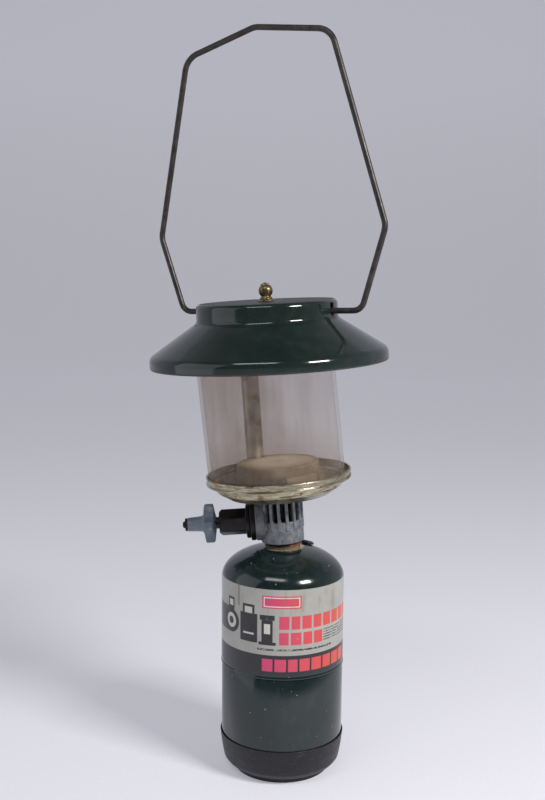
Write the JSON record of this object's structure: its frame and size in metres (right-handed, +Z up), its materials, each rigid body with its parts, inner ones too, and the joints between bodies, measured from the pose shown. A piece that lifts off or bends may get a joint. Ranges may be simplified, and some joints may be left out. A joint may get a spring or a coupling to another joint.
{
  "type": "camping lantern",
  "caption": "Single-burner propane camping lantern on a screw-on fuel cylinder, with a glass globe, a wide enamelled hood and a swinging wire bail.",
  "frame": {"origin": "middle of the fuel cylinder's foot, on the floor", "axes": "+Z up along the fuel cylinder, -X towards the control knob"},
  "size_m": [0.1889, 0.189, 0.5924],
  "materials": {
    "cylinder_paint": "satin",
    "hood_enamel": "gloss",
    "boot_plastic": "matte",
    "zinc_casting": "matte",
    "nickel_plate": "tarnished",
    "heat_shield_steel": "matte",
    "globe_glass": "gloss",
    "brass": "satin",
    "blackened_steel": "satin",
    "knob_plastic": "matte",
    "rubber": "matte",
    "bail_wire": "satin",
    "steel": "satin"
  },
  "bodies": {
    "cylinder": {"cylinder_boot": "boot_plastic", "cylinder_lower_shell": "cylinder_paint", "cylinder_upper_shell": "cylinder_paint", "relief_valve_body": "brass", "relief_valve_cap": "boot_plastic", "neck_collar": "steel", "tank_valve_body": "brass", "tank_valve_pin": "steel", "tank_valve_seal": "rubber"},
    "inlet": {"inlet_seal": "rubber"},
    "head": {"valve_body": "zinc_casting", "inlet_pin": "brass", "gas_jet": "brass", "bonnet_gasket": "blackened_steel", "valve_bonnet": "blackened_steel", "packing_nut": "steel", "stem_seal": "rubber", "base_washer": "nickel_plate", "base_plate": "nickel_plate", "base_screw_back": "steel", "base_screw_front": "steel", "heat_shield": "heat_shield_steel", "globe": "globe_glass", "mixing_elbow": "steel", "mixing_tube": "steel", "burner_arm": "steel", "burner_cap": "blackened_steel", "burner_screen": "steel", "hood_stud": "steel", "hood_rest_nut": "steel", "hood": "hood_enamel"},
    "stem": {"valve_stem": "steel"},
    "knob": {"control_knob": "knob_plastic", "knob_washer": "blackened_steel", "knob_screw": "steel"},
    "nut_washer": {"hood_washer": "steel"},
    "ball_nut": {"ball_nut": "brass"},
    "bail": {"bail_handle": "bail_wire"}
  },
  "joints": [
    {"name": "head_lift", "type": "slide", "parent": "cylinder", "child": "inlet", "axis": [-0.0767, 0, 0.9971], "range_m": [0, 0.0064]},
    {"name": "head_turn", "type": "hinge", "parent": "inlet", "child": "head", "pos_m": [0, 0, 0.186], "axis": [-0.0767, 0, 0.9971], "range_deg": [0, 1800]},
    {"name": "stem_travel", "type": "slide", "parent": "head", "child": "stem", "axis": [-0.9971, 0, -0.0767], "range_m": [0, 0.0014]},
    {"name": "knob_turn", "type": "hinge", "parent": "stem", "child": "knob", "pos_m": [-0.06136, 0, 0.20134], "axis": [-0.9971, 0, -0.0767], "range_deg": [0, 540]},
    {"name": "nut_lift", "type": "slide", "parent": "head", "child": "nut_washer", "axis": [-0.0767, 0, 0.9971], "range_m": [0, 0.0086]},
    {"name": "nut_turn", "type": "hinge", "parent": "nut_washer", "child": "ball_nut", "pos_m": [-0.01573, 0, 0.3904], "axis": [-0.0767, 0, 0.9971], "range_deg": [0, 2880]},
    {"name": "bail_swing", "type": "hinge", "parent": "head", "child": "bail", "pos_m": [-0.01439, 0, 0.37305], "axis": [0.9006, -0.4334, 0.0332], "range_deg": [-130, 130]}
  ],
  "couplings": [
    {"joint": "head_lift", "follows": "head_turn", "m_per_rad": 0.000202},
    {"joint": "stem_travel", "follows": "knob_turn", "m_per_rad": 0.000143},
    {"joint": "nut_lift", "follows": "nut_turn", "m_per_rad": 0.000169}
  ]
}
